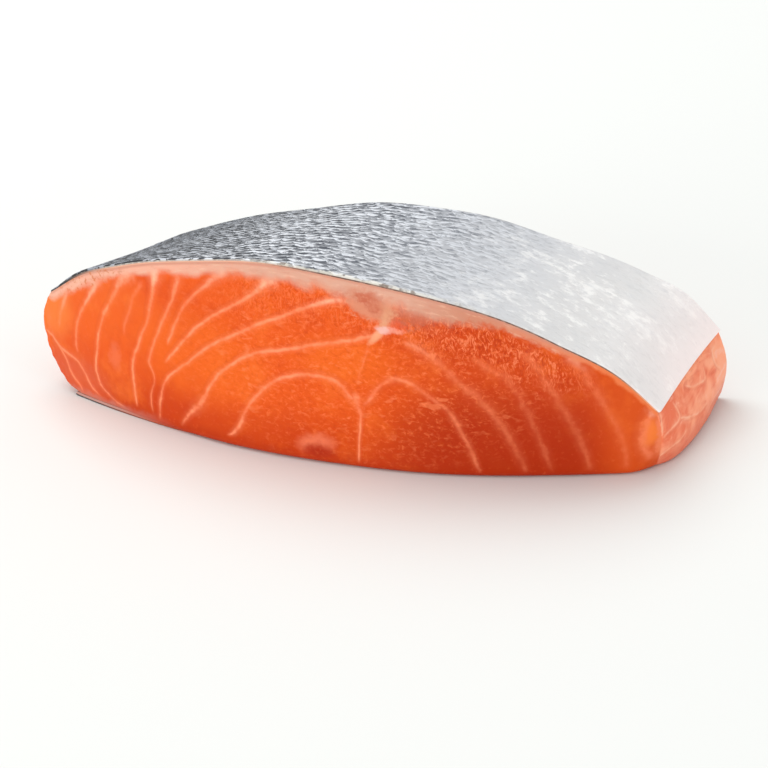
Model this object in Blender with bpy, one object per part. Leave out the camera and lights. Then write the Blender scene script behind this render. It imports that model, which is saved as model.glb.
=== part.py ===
"""A portion cut across a raw salmon fillet, lying with its skin up.

X runs from the fish's back to its belly, Y from the near cut to the far cut and Z up.
The origin is on the table, under the middle of the portion. Sizes are in metres.

The flesh is a unit cube that is cut at stations along its three axes and then moulded:
a runs from the back to the belly, b from the table to the skin, t from near to far cut.
A pair of values is always (at the near cut, at the far cut).
"""

import bmesh
import bpy
import numpy as np

# Outline of the two cuts.
SKIN_TIP_X = (-0.0716, -0.0586)  # the skin's edge on the fish's back
BELLY_EDGE_X = (0.0676, 0.0738)  # the skin's edge on the belly
HEEL_X = (-0.0642, -0.0512)  # where the underside turns up towards the back
TOE_X = (0.0675, 0.0750)  # where the underside ends at the belly
CUT_Y = (-0.0403, 0.0076)  # each cut at its middle
CUT_BOW = (3.50, 1.40)  # how fast each cut curves away from the viewer, per metre
BOW_CENTRE_X = (0.0013, 0.0050)

# Height of the flesh under the skin: share of the way from back to belly, height.
NEAR_CREST = (
    (0.00, 0.0237),
    (0.07, 0.0313),
    (0.15, 0.0365),
    (0.25, 0.0411),
    (0.36, 0.0447),
    (0.46, 0.0457),
    (0.58, 0.0437),
    (0.72, 0.0399),
    (0.85, 0.0320),
    (0.94, 0.0239),
    (1.00, 0.0146),
)
FAR_CREST = (
    (0.00, 0.0222),
    (0.08, 0.0270),
    (0.16, 0.0315),
    (0.26, 0.0358),
    (0.38, 0.0399),
    (0.49, 0.0412),
    (0.60, 0.0402),
    (0.74, 0.0359),
    (0.87, 0.0297),
    (0.95, 0.0241),
    (1.00, 0.0169),
)

# The trimmed back edge is a Bezier curve from heel to skin tip, drawn by these reaches.
HEEL_REACH = 0.0056  # out from the heel
TIP_REACH_OUT = 0.0074  # out from the skin's tip
TIP_REACH_DOWN = 0.0100  # and down from it

# The trimmed belly end.
BELLY_BULGE = (0.0012, 0.0016)  # how far it swells between table and skin
FOOT_BOW = 0.0028  # how far its foot bows out between the two cuts
FOOT_BOW_SKEW = 0.7  # power that moves the middle of that bow towards the near cut
EDGE_BOW = -0.0005  # how far its edge at the skin bows out
CORNER_TUCK = 0.0032  # how far its near corner draws in at the table
CORNER_SHARE = (0.04, 0.25)  # the shares of a and t over which that corner fades

FOOT_RADIUS = 0.0016  # rounding of the cuts and the belly end at the table
FOOT_SHARE = 0.13  # the share of the cube over which that rounding fades inwards

# Unevenness: its height, then how fast two crossed waves turn along two coordinates.
SKIN_WAVE = (0.00030, (23, 4), (-9, 5))  # under the skin, along a and t
CUT_WAVE = (0.00035, (95, 60), (-31, 210))  # on both cuts, along x and z

# The two pieces of skin.
SKIN_THICKNESS = 0.0007
SKIN_GAP = 0.0003
STRIP_REACH = 0.0300  # the strip below, from the heel towards the belly
STRIP_CLIMB = 0.07  # and the share of the back edge that it climbs
STRIP_TURN = 0.35  # share of its stations that lie on the back edge
STRIP_STEP = 0.0010  # the length over which the underside steps down past the strip

# How finely each piece is cut.
WIDTH_CUTS = 56
HEIGHT_CUTS = 13
HEIGHT_CROWDING = 1.5  # power that crowds the heights towards the table
DEPTH_CUTS = 11
STRIP_CUTS = 16
NARROWEST_CUT = 0.006  # share of the width
SHARP_ANGLE = 40  # degrees

FLESH_COLOUR = (0.80, 0.17, 0.045, 1.0)
SKIN_COLOUR = (0.46, 0.48, 0.50, 1.0)
STRIP_COLOUR = (0.12, 0.12, 0.13, 1.0)


def between(pair, t):
    """The value at depth t, from the near cut's to the far cut's."""
    return pair[0] + (pair[1] - pair[0]) * t


def smooth_through(stations, at):
    """Reads a smooth curve through the stations (place, value)."""
    places, values = np.array(stations).T
    slopes = np.gradient(values, places)
    left = np.clip(np.searchsorted(places, at, side="right") - 1, 0, len(places) - 2)
    span = places[left + 1] - places[left]
    u = (at - places[left]) / span
    return (
        values[left] * (1 + 2 * u) * (1 - u) ** 2
        + values[left + 1] * u * u * (3 - 2 * u)
        + span * slopes[left] * u * (1 - u) ** 2
        + span * slopes[left + 1] * u * u * (u - 1)
    )


def uneven(wave, u, v):
    """Two crossed waves over the coordinates u and v."""
    height, first, second = wave
    return height * np.sin(first[0] * u + first[1] * v) * np.sin(second[0] * u + second[1] * v)


def close_to(end, place):
    """1 at one end of the cube, 0 or 1, fading to nothing inwards."""
    return np.clip(1 - np.abs(place - end) / FOOT_SHARE, 0, 1)


def crest(a, t):
    """Top of the flesh, as x and z."""
    x = between(SKIN_TIP_X, t) * (1 - a) + between(BELLY_EDGE_X, t) * a
    z = between((smooth_through(NEAR_CREST, a), smooth_through(FAR_CREST, a)), t)
    inside = 4 * a * (1 - a)
    return x, z + inside * uneven(SKIN_WAVE, a, t)


def underside(a, t):
    """Bottom of the flesh, as x and z: flat, but raised over the strip of skin."""
    heel = between(HEEL_X, t)
    x = heel * (1 - a) + between(TOE_X, t) * a
    past_strip = np.clip((x - heel - STRIP_REACH) / STRIP_STEP, 0, 1)
    return x, (SKIN_THICKNESS + SKIN_GAP) * (1 - past_strip)


def back_edge(b, t):
    """The trimmed edge along the fish's back, from the heel to the skin's tip, as x and z."""
    heel_x, heel_z = underside(np.zeros_like(t), t)
    tip_x, tip_z = crest(np.zeros_like(t), t)
    weights = ((1 - b) ** 3, 3 * b * (1 - b) ** 2, 3 * b * b * (1 - b), b**3)
    xs = (heel_x, heel_x - HEEL_REACH, tip_x - TIP_REACH_OUT, tip_x)
    zs = (heel_z, heel_z, tip_z - TIP_REACH_DOWN, tip_z)
    return sum(w * x for w, x in zip(weights, xs)), sum(w * z for w, z in zip(weights, zs))


def belly_end(b, t):
    """The trimmed belly end, from the table to the skin, as x and z."""
    foot_x, foot_z = underside(np.ones_like(t), t)
    edge_x, edge_z = crest(np.ones_like(t), t)
    foot_bow = FOOT_BOW * np.sin(np.pi * t**FOOT_BOW_SKEW)
    bow = foot_bow * (1 - b) + EDGE_BOW * np.sin(np.pi * t) * b
    bulge = between(BELLY_BULGE, t) * np.sin(np.pi * b)
    x = foot_x * (1 - b) + edge_x * b + bow + bulge
    return x, foot_z * (1 - b) + edge_z * b


def section(a, b, t):
    """The inside of a cut, filled between its four edges, as x and z."""
    low, high = underside(a, t), crest(a, t)
    back, belly = back_edge(b, t), belly_end(b, t)
    corners = (
        underside(np.zeros_like(t), t),
        underside(np.ones_like(t), t),
        crest(np.zeros_like(t), t),
        crest(np.ones_like(t), t),
    )
    return [
        (1 - b) * low[i]
        + b * high[i]
        + (1 - a) * back[i]
        + a * belly[i]
        - (1 - a) * (1 - b) * corners[0][i]
        - a * (1 - b) * corners[1][i]
        - (1 - a) * b * corners[2][i]
        - a * b * corners[3][i]
        for i in (0, 1)
    ]


def foot_tuck(z):
    """How far a side draws in where it rounds under to the table."""
    rise = np.clip(z / FOOT_RADIUS, 0, 1)
    return FOOT_RADIUS * (1 - np.sqrt(1 - (1 - rise) ** 2))


def corner(a, b, t):
    """1 at the belly end's near corner on the table, fading along all three axes."""
    along = np.clip(1 - (1 - a) / CORNER_SHARE[0], 0, 1)
    deep = np.clip(1 - t / CORNER_SHARE[1], 0, 1)
    return (along * deep * (1 - b)) ** 2


def mould(a, b, t):
    """Where the unit cube's point (a, b, t) lies in the portion, as rows of x, y, z."""
    x, z = section(a, b, t)
    x = x - foot_tuck(z) * close_to(1, a)
    near = CUT_Y[0] + CUT_BOW[0] * (x - BOW_CENTRE_X[0]) ** 2
    far = CUT_Y[1] + CUT_BOW[1] * (x - BOW_CENTRE_X[1]) ** 2
    drawn_in = foot_tuck(z) + uneven(CUT_WAVE, x, z)
    y = between((near, far), t) + drawn_in * (close_to(0, t) - close_to(1, t))
    return np.stack([x, y + CORNER_TUCK * corner(a, b, t), z], axis=1)


def cut_cube(stations):
    """A unit cube cut at the stations along each axis."""
    bm = bmesh.new()
    bmesh.ops.create_cube(bm, size=1.0)
    bmesh.ops.translate(bm, verts=bm.verts, vec=(0.5, 0.5, 0.5))
    for axis, places in enumerate(stations):
        normal = [float(axis == i) for i in range(3)]
        for place in places[1:-1]:
            bmesh.ops.bisect_plane(
                bm,
                geom=bm.verts[:] + bm.edges[:] + bm.faces[:],
                plane_co=[place * n for n in normal],
                plane_no=normal,
            )
    return bm


def add_node(name, bm, shape, material):
    """Moves the cube's points by shape(a, b, t) and makes the object."""
    grid = np.array([v.co for v in bm.verts])
    for vertex, place in zip(bm.verts, shape(*grid.T)):
        vertex.co = place
    if bm.calc_volume(signed=True) < 0:
        bmesh.ops.reverse_faces(bm, faces=bm.faces)
    mesh = bpy.data.meshes.new(name)
    bm.to_mesh(mesh)
    bm.free()
    mesh.shade_smooth()
    mesh.set_sharp_from_angle(angle=np.radians(SHARP_ANGLE))
    mesh.materials.append(material)
    node = bpy.data.objects.new(name, mesh)
    bpy.context.scene.collection.objects.link(node)
    return node


def finish(name, colour, roughness, metallic):
    """A Principled material of one colour."""
    material = bpy.data.materials.new(name)
    material.use_nodes = True
    shader = material.node_tree.nodes["Principled BSDF"]
    shader.inputs["Base Color"].default_value = colour
    shader.inputs["Roughness"].default_value = roughness
    shader.inputs["Metallic"].default_value = metallic
    return material


def width_stations():
    """Stations from back to belly: even, with two at the step past the strip of skin."""
    near_width = TOE_X[0] - HEEL_X[0]
    step = (STRIP_REACH / near_width, (STRIP_REACH + STRIP_STEP) / near_width)
    even = np.linspace(0, 1, WIDTH_CUTS + 1)
    clear = [s for s in even if min(abs(s - edge) for edge in step) > NARROWEST_CUT]
    return sorted([*clear, *step])


def depth_stations():
    """Even stations from the near cut to the far cut."""
    return np.linspace(0, 1, DEPTH_CUTS + 1)


def make_flesh():
    """The flesh, as one solid."""
    heights = np.linspace(0, 1, HEIGHT_CUTS + 1) ** HEIGHT_CROWDING
    bm = cut_cube((width_stations(), heights, depth_stations()))
    return add_node("flesh", bm, mould, finish("salmon_flesh", FLESH_COLOUR, 0.35, 0.0))


def over(surface, place, t, outward):
    """Offsets a surface of two coordinates along its normal."""
    small = 1e-4
    along = surface(np.minimum(place + small, 1), t) - surface(np.maximum(place - small, 0), t)
    deep = surface(place, np.minimum(t + small, 1)) - surface(place, np.maximum(t - small, 0))
    normal = np.cross(along, deep)
    normal /= np.linalg.norm(normal, axis=1, keepdims=True)
    return surface(place, t) + normal * outward[:, None]


def make_skin():
    """The scaly skin over the whole top, cut flush with the flesh."""

    def top(a, t):
        return mould(a, np.ones_like(a), t)

    def shape(a, layer, t):
        return over(top, a, t, SKIN_GAP + SKIN_THICKNESS * layer)

    bm = cut_cube((width_stations(), (0, 1), depth_stations()))
    return add_node("skin", bm, shape, finish("silver_skin", SKIN_COLOUR, 0.3, 0.35))


def make_strip():
    """The strip of dark skin that wraps from the back edge to the underside."""

    def path(s, t):
        climb = STRIP_CLIMB * np.clip(1 - s / STRIP_TURN, 0, 1)
        run = np.clip((s - STRIP_TURN) / (1 - STRIP_TURN), 0, 1)
        width = between(TOE_X, t) - between(HEEL_X, t)
        return mould(run * (STRIP_REACH - 2 * SKIN_GAP) / width, climb, t)

    def shape(s, layer, t):
        return over(path, s, t, -SKIN_GAP - SKIN_THICKNESS * layer)

    spacing = np.linspace(0, 1, STRIP_CUTS + 1)
    bm = cut_cube((spacing, (0, 1), depth_stations()))
    return add_node("skin_strip", bm, shape, finish("dark_skin", STRIP_COLOUR, 0.4, 0.1))


def centre_on_table(nodes):
    """Puts the origin on the table, under the middle of the whole portion."""
    points = np.array([v.co for node in nodes for v in node.data.vertices])
    low, high = points.min(axis=0), points.max(axis=0)
    middle = ((low[0] + high[0]) / 2, (low[1] + high[1]) / 2, low[2])
    for node in nodes:
        for vertex in node.data.vertices:
            for axis in range(3):
                vertex.co[axis] -= middle[axis]


def main():
    """Builds the three pieces in an empty scene."""
    for old in list(bpy.data.objects):
        bpy.data.objects.remove(old)
    centre_on_table([make_flesh(), make_skin(), make_strip()])


main()
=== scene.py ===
"""The looks of a portion cut across a raw salmon fillet, lying with its skin up.

The flesh, the skin and the strip of dark skin below are made again as fine meshes in the
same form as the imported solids: unit cubes of small squares, moulded by the same functions.
In those cubes a runs from the fish's back to its belly, b from the table to the skin and
t from the near cut to the far cut. A pair of values is (at the near cut, at the far cut),
unless its comment says what it is. Shapes are in metres. The patterns in flesh and skin are
in millimetres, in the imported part's frame.
"""

import math

import bmesh
import bpy
import numpy as np
from mathutils import Matrix, Vector, noise


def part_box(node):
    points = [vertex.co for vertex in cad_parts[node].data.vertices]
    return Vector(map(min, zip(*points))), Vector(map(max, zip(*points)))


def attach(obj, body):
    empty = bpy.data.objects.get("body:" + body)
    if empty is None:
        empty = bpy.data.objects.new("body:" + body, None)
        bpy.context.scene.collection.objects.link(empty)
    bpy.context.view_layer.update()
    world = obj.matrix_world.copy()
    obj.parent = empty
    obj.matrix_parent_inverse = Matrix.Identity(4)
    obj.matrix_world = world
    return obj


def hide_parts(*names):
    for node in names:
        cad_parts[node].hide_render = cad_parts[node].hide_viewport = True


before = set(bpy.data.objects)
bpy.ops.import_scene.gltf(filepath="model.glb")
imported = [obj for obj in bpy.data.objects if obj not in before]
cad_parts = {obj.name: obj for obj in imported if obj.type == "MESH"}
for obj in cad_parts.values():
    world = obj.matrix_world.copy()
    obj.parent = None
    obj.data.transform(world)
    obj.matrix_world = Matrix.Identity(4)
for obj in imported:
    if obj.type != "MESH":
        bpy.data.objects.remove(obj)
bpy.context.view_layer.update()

MM = 0.001
TINY = 1e-5

# The portion's outline, as in its solids.
MOULD_TO_PART = np.array((-0.000873, 0.012832, 0.0))  # from the mould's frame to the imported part's
SKIN_TIP_X = (-0.0716, -0.0586)
BELLY_EDGE_X = (0.0676, 0.0738)
HEEL_X = (-0.0642, -0.0512)
TOE_X = (0.0675, 0.0750)
CUT_Y = (-0.0403, 0.0076)
CUT_BOW = (3.50, 1.40)
BOW_CENTRE_X = (0.0013, 0.0050)
NEAR_CREST = (
    (0.00, 0.0237), (0.07, 0.0313), (0.15, 0.0365), (0.25, 0.0411), (0.36, 0.0447),
    (0.46, 0.0457), (0.58, 0.0437), (0.72, 0.0399), (0.85, 0.0320), (0.94, 0.0239),
    (1.00, 0.0146),
)
FAR_CREST = (
    (0.00, 0.0222), (0.08, 0.0270), (0.16, 0.0315), (0.26, 0.0358), (0.38, 0.0399),
    (0.49, 0.0412), (0.60, 0.0402), (0.74, 0.0359), (0.87, 0.0297), (0.95, 0.0241),
    (1.00, 0.0169),
)
HEEL_REACH = 0.0056
TIP_REACH_OUT = 0.0074
TIP_REACH_DOWN = 0.0100
BELLY_BULGE = (0.0012, 0.0016)
FOOT_BOW = 0.0028
FOOT_BOW_SKEW = 0.7
EDGE_BOW = -0.0005
CORNER_TUCK = 0.0032
CORNER_SHARE = (0.04, 0.25)  # how far the tuck reaches along a and t
FOOT_RADIUS = 0.0016
FOOT_SHARE = 0.13
SKIN_WAVE = (0.00030, (23, 4), (-9, 5))  # height, and how fast two crossed waves turn along a and t
CUT_WAVE = (0.00035, (95, 60), (-31, 210))  # the same along x and z
SKIN_THICKNESS = 0.0007
SKIN_GAP = 0.0003
SKIN_SEAT = 0.00002  # the finished skin lies this close on the flesh
STRIP_REACH = 0.0300
STRIP_CLIMB = 0.07
STRIP_TURN = 0.35
STRIP_STEP = 0.0010
STRIP_THINS_FROM = 0.35  # past this share of its reach the finished strip gets thinner
STRIP_END_SHARE = 0.08  # the share of its thickness that is left at its end
SKIN_TIP_SHARE = 0.4  # the share of the skin's thickness that is left at its tip
SKIN_TIP_REACH = 0.06  # the skin is as thick as elsewhere from this share of its width on
SKIN_RIM_DROP = 0.00022  # how much lower the skin's rims are along both cuts

# The meshes: squares along a, b and t, and places read along the top.
FLESH_SQUARES = (200, 60, 48)
SKIN_SQUARES = (220, 2, 70)
STRIP_SQUARES = (40, 2, 90)
CREST_STATIONS = 240
SKIN_STATIONS = 400
SHARP_ANGLE = 50  # edges that turn more than this many degrees stay sharp

# White lines on the cuts. Each has one of three groups, whose lines stay clear of each other,
# a strength, and points from one end to the other: x, z and half the line's width, in mm.
CUT_LINES = (
    (2, 0.45, (
        (-67.3, 26.1, 0.5), (-68.9, 22.0, 0.5), (-70.1, 17.9, 0.5), (-70.5, 15.2, 0.4),
    )),
    (0, 0.80, (
        (-57.5, 31.7, 1.1), (-59.0, 29.9, 0.8), (-61.4, 26.0, 0.5), (-63.8, 21.6, 0.45),
        (-65.1, 17.5, 0.45), (-65.5, 13.3, 0.4), (-65.1, 10.9, 0.35),
    )),
    (1, 1.00, (
        (-48.8, 36.8, 2.0), (-50.5, 34.6, 1.3), (-52.6, 31.9, 0.7), (-54.6, 28.1, 0.5),
        (-56.9, 23.8, 0.45), (-58.4, 19.7, 0.42), (-59.1, 15.5, 0.4), (-59.7, 7.6, 0.38),
        (-58.7, 5.0, 0.38), (-56.5, 3.2, 0.38), (-54.3, 2.1, 0.35), (-51.9, 1.6, 0.3),
    )),
    (0, 0.35, (
        (-45.8, 35.2, 0.7), (-47.1, 32.8, 0.6), (-48.8, 29.8, 0.5), (-49.9, 26.3, 0.5),
        (-51.4, 22.6, 0.5), (-51.7, 19.3, 0.4),
    )),
    (2, 1.00, (
        (-42.2, 39.8, 2.0), (-42.6, 37.8, 1.3), (-43.2, 33.5, 0.7), (-44.4, 28.6, 0.5),
        (-45.3, 25.1, 0.45), (-46.8, 21.8, 0.42), (-47.8, 18.7, 0.4), (-49.2, 15.1, 0.4),
        (-49.5, 10.6, 0.4), (-49.3, 7.0, 0.38), (-49.0, 2.5, 0.3),
    )),
    (0, 0.75, (
        (-36.4, 38.8, 0.9), (-37.0, 36.8, 0.7), (-38.1, 33.0, 0.5), (-40.0, 28.7, 0.45),
        (-41.7, 25.1, 0.45), (-43.4, 21.0, 0.42), (-45.0, 15.6, 0.4), (-43.8, 11.6, 0.28),
        (-45.0, 7.2, 0.28), (-44.6, 2.2, 0.28),
    )),
    (1, 0.80, (
        (-24.0, 43.2, 1.6), (-26.4, 41.2, 1.0), (-29.7, 37.8, 0.6), (-33.1, 34.6, 0.5),
        (-35.8, 30.8, 0.45), (-37.4, 27.6, 0.42), (-39.1, 23.6, 0.4), (-40.4, 20.4, 0.35),
    )),
    (0, 1.00, (
        (-12.3, 43.0, 1.9), (-15.0, 41.7, 1.3), (-16.7, 39.8, 0.8), (-19.8, 37.1, 0.55),
        (-22.8, 34.8, 0.5), (-26.4, 32.3, 0.48), (-30.0, 29.4, 0.45), (-33.8, 25.7, 0.45),
        (-36.5, 22.2, 0.42), (-39.3, 18.6, 0.4), (-41.3, 15.9, 0.35),
    )),
    (1, 1.00, (
        (2.6, 39.4, 0.5), (1.0, 39.6, 0.6), (-1.2, 39.1, 0.6), (-3.8, 37.9, 0.6),
        (-9.7, 35.1, 0.52), (-13.8, 33.0, 0.5), (-20.2, 29.4, 0.48), (-26.6, 25.3, 0.48),
        (-30.3, 22.7, 0.45), (-34.0, 18.9, 0.42), (-37.9, 15.4, 0.42), (-40.7, 12.5, 0.4),
        (-42.0, 9.2, 0.38), (-42.7, 5.3, 0.38), (-43.0, 1.0, 0.3),
    )),
    (0, 1.00, (
        (9.0, 32.6, 0.5), (6.8, 31.9, 0.55), (4.3, 30.9, 0.55), (1.4, 30.1, 0.55),
        (-2.5, 29.0, 0.55), (-6.5, 27.9, 0.52), (-10.5, 26.5, 0.5), (-15.0, 25.2, 0.5),
        (-18.8, 23.9, 0.5), (-21.6, 22.1, 0.48), (-24.5, 19.7, 0.45), (-28.8, 15.2, 0.5),
        (-30.7, 11.2, 0.5), (-32.6, 8.1, 0.9), (-34.9, 5.7, 0.6), (-37.5, 1.5, 0.4),
    )),
    (1, 1.00, (
        (4.6, 16.0, 0.5), (3.2, 17.3, 0.6), (1.0, 19.9, 0.6), (-1.0, 21.1, 0.6),
        (-3.9, 21.3, 0.6), (-7.3, 21.0, 0.58), (-10.6, 20.0, 0.55), (-13.7, 18.4, 0.55),
        (-16.5, 16.1, 0.52), (-18.7, 13.2, 0.5), (-20.9, 9.8, 0.5), (-22.9, 5.0, 0.5),
        (-24.0, 3.7, 0.45), (-26.0, 2.6, 0.35),
    )),
    (2, 0.95, (
        (5.0, 1.0, 0.25), (5.1, 7.3, 0.3), (5.3, 10.5, 0.35), (5.4, 13.3, 0.5),
        (4.9, 15.5, 0.8), (4.4, 17.4, 1.0), (4.6, 19.2, 0.4),
    )),
    (2, 0.40, (
        (5.0, 20.6, 0.3), (5.3, 22.8, 0.3), (6.0, 25.3, 0.3), (6.8, 28.1, 0.35),
        (7.3, 29.8, 0.4),
    )),
    (2, 0.90, (
        (7.9, 31.0, 0.5), (8.8, 32.3, 0.7), (10.1, 33.6, 0.8), (10.6, 35.4, 0.8),
        (11.2, 37.5, 0.8),
    )),
    (0, 0.45, (
        (8.8, 34.8, 0.6), (7.6, 36.6, 0.8), (5.4, 38.2, 0.9), (2.8, 39.3, 0.8),
        (0.2, 39.5, 0.6),
    )),
    (0, 0.90, (
        (5.6, 14.8, 0.5), (7.1, 16.7, 0.55), (9.0, 19.7, 0.55), (10.9, 21.7, 0.6),
        (12.8, 22.7, 0.6), (15.0, 22.4, 0.55), (17.8, 20.9, 0.55), (20.0, 19.0, 0.5),
        (24.0, 16.0, 0.48), (28.0, 9.0, 0.45), (31.5, 0.5, 0.3),
    )),
    (1, 0.62, (
        (14.0, 31.6, 0.5), (18.1, 29.9, 0.8), (20.5, 28.1, 0.9), (23.0, 26.1, 0.8),
        (26.6, 22.4, 0.7), (29.3, 20.0, 0.9), (32.9, 16.6, 0.7), (38.0, 8.0, 0.6),
        (41.0, 1.0, 0.5),
    )),
    (0, 0.50, (
        (28.5, 29.0, 0.6), (33.6, 25.2, 0.8), (36.2, 23.8, 0.8), (38.0, 21.3, 0.65),
        (40.3, 16.7, 0.6), (44.0, 8.0, 0.55), (46.0, 1.0, 0.5),
    )),
    (1, 0.52, (
        (38.0, 30.8, 1.0), (40.0, 28.8, 0.9), (42.2, 26.3, 0.9), (44.0, 23.3, 0.8),
        (48.1, 16.6, 0.7), (52.0, 8.0, 0.6), (54.0, 1.0, 0.5),
    )),
    (0, 0.52, (
        (48.0, 30.0, 1.2), (49.9, 27.7, 0.9), (52.1, 24.1, 0.8), (56.2, 16.8, 0.7),
        (58.1, 13.2, 0.65), (60.5, 6.0, 0.6), (61.0, 1.0, 0.5),
    )),
    (1, 0.95, (
        (66.6, 16.2, 0.8), (65.4, 14.4, 0.8), (64.2, 11.7, 0.75), (63.9, 9.1, 0.75),
        (64.8, 5.9, 0.85), (66.0, 2.6, 0.9),
    )),
    (2, 0.85, (
        (-76.0, 13.7, 0.35), (-72.5, 12.6, 0.4), (-70.3, 10.8, 0.4), (-67.7, 10.0, 0.4),
        (-65.2, 9.0, 0.38), (-63.7, 7.1, 0.38), (-62.5, 4.8, 0.38), (-60.8, 3.1, 0.35),
        (-58.8, 2.1, 0.3),
    )),
    (1, 0.75, (
        (-73.4, 13.2, 0.35), (-71.0, 11.2, 0.35), (-69.2, 9.0, 0.38), (-67.3, 4.9, 0.38),
        (-64.8, 2.4, 0.35), (-64.0, 1.0, 0.3),
    )),
)

# White lines on the belly end, the same way, with y in place of x.
END_LINES = (
    (0, 0.90, (
        (-10.6, 15.0, 0.6), (-11.1, 10.1, 0.5), (-11.7, 7.3, 0.5), (-12.0, 2.0, 0.5),
    )),
    (1, 0.90, (
        (-12.2, 2.4, 0.4), (-9.3, 4.0, 0.45), (-3.6, 4.5, 0.45), (0.5, 5.7, 0.35),
    )),
    (1, 0.80, (
        (-11.3, 8.6, 0.4), (-6.3, 8.9, 0.5), (-2.7, 9.5, 0.5), (-2.7, 11.2, 0.45),
        (-4.2, 13.9, 0.4),
    )),
    (0, 0.80, (
        (-3.4, 9.6, 0.4), (2.1, 7.5, 0.5), (7.4, 6.1, 0.45), (14.0, 5.7, 0.35),
    )),
    (1, 0.80, (
        (3.6, 14.0, 0.4), (4.8, 13.3, 0.4), (9.4, 11.7, 0.5), (14.5, 11.5, 0.5),
        (15.2, 14.2, 0.5),
    )),
    (0, 0.80, (
        (24.4, 15.0, 0.5), (21.4, 14.0, 0.5), (21.3, 11.6, 0.45), (24.0, 8.6, 0.35),
    )),
    (0, 0.60, (
        (12.0, 3.0, 0.4), (18.0, 4.6, 0.45), (25.0, 4.0, 0.4), (31.0, 6.5, 0.35),
    )),
)
LINE_STEP = 0.5  # spacing of the points read along a line, in mm
LINE_FADE = (2.0, 0.3)  # a line fades over this length at each end, or this share of it
LINE_REACH = (2.5, 3.5)  # in half-widths: its field is whole up to the first, gone at the second
NO_LINE = 9.0  # the offset that stands for no line near, in half-widths
FAR_DRIFT = (3.5, -1.2)  # how far the lines have moved along x and z at the far cut

# Lines on the back edge and the underside, which cross them slanting, in mm.
SIDE_LINE_SPACING = 6.8
SIDE_LINE_WIDTH = 0.42  # half a line's width
SIDE_LINE_SLANT = 0.55  # how far they shift along the fish for each mm across it
SIDE_LINE_WAVE = (0.9, 6.0)  # height of their waves, and the length in which one turns a radian
SIDE_LINE_STRENGTH = 0.7

# Depth of the pale fat under the skin: x along the near cut, depth, in mm.
FAT_DEPTH = (
    (-76.0, 1.0), (-68.0, 1.9), (-60.0, 2.2), (-52.0, 1.8), (-40.0, 2.0),
    (-25.0, 2.6), (-12.0, 3.0), (0.0, 3.4), (10.0, 4.3), (17.0, 4.7),
    (24.0, 3.8), (32.0, 2.3), (42.0, 1.4), (55.0, 0.9), (70.0, 0.6),
)

# Relief of the flesh, in mm.
LINE_GROOVE = 0.06
END_GROOVE_SHARE = 0.35  # the lines on the belly end, the back edge and the underside lie less deep
SWELLINGS = (0.16, 7.0)  # height and size of the muscle's gentle swellings
FIBRES = (0.05, 1.3)  # the same of its fibres
BACK_PITS = (0.45, 2.6)  # the same of the pits in the torn back edge
BACK_REACH = 0.02  # the share of the way to the belly that the pits reach over
RELIEF_START = (1.0, 2.0)  # relief is whole from this far below the skin and above the table

# The pale star on the cuts: where the funnel of fat above it starts, as x and z in mm.
FUNNEL_FOOT = (10.5, 34.0)

# Scales, in mm.
SCALE_PITCH = (2.9, 1.95)  # along the skin from back to belly, and towards the near cut
SCALE_CURVE = 0.32  # how much of its row a scale's free edge curves through
SCALE_LIFT = 0.13
SCALE_REACH = 1.6  # how far back from its free edge a scale falls, in rows
SCALES_START = (0.01, 0.02)  # they rise over this share of the skin at its edges, along a and t

# The camera that the photo was taken with.
PICTURE_SIDE = 768
CAMERA_AZIMUTH = 16
CAMERA_ELEVATION = 27
CAMERA_DISTANCE = 0.620
CAMERA_AIM = Vector(MOULD_TO_PART)  # it looks at the origin of the mould's frame
PIXELS_PER_RADIAN = 2709.4
SENSOR_WIDTH = 36.0

# The studio.
FLOOR_SIDE = 8.0
FLOOR_COLOUR = (0.765, 0.78, 0.762, 1.0)
WORLD_STRENGTH = 0.69
LIGHT_AIM = (0.0, 0.0, 0.02)
SOFTBOXES = (  # name, place, side and watts
    ("key_light", (-0.70, 0.43, 1.47), 1.6, 21.0),
    ("fill_light", (-0.70, -1.54, 0.42), 0.7, 9.6),
    ("side_light", (1.00, -0.55, 0.16), 0.3, 2.2),
)


def between(pair, t):
    """The value at depth t, from the near cut's to the far cut's."""
    return pair[0] + (pair[1] - pair[0]) * t


def smooth_through(stations, at):
    """Reads a smooth curve through the stations (place, value)."""
    places, values = np.array(stations).T
    slopes = np.gradient(values, places)
    left = np.clip(np.searchsorted(places, at, side="right") - 1, 0, len(places) - 2)
    span = places[left + 1] - places[left]
    u = (at - places[left]) / span
    return (
        values[left] * (1 + 2 * u) * (1 - u) ** 2
        + values[left + 1] * u * u * (3 - 2 * u)
        + span * slopes[left] * u * (1 - u) ** 2
        + span * slopes[left + 1] * u * u * (u - 1)
    )


def uneven(wave, u, v):
    """Two crossed waves over the coordinates u and v."""
    height, first, second = wave
    return height * np.sin(first[0] * u + first[1] * v) * np.sin(second[0] * u + second[1] * v)


def close_to(end, place):
    """1 at one end of the cube, 0 or 1, fading to nothing inwards."""
    return np.clip(1 - np.abs(place - end) / FOOT_SHARE, 0, 1)


def crest(a, t):
    """Top of the flesh, as x and z."""
    x = between(SKIN_TIP_X, t) * (1 - a) + between(BELLY_EDGE_X, t) * a
    z = between((smooth_through(NEAR_CREST, a), smooth_through(FAR_CREST, a)), t)
    inside = 4 * a * (1 - a)
    return x, z + inside * uneven(SKIN_WAVE, a, t)


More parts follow.
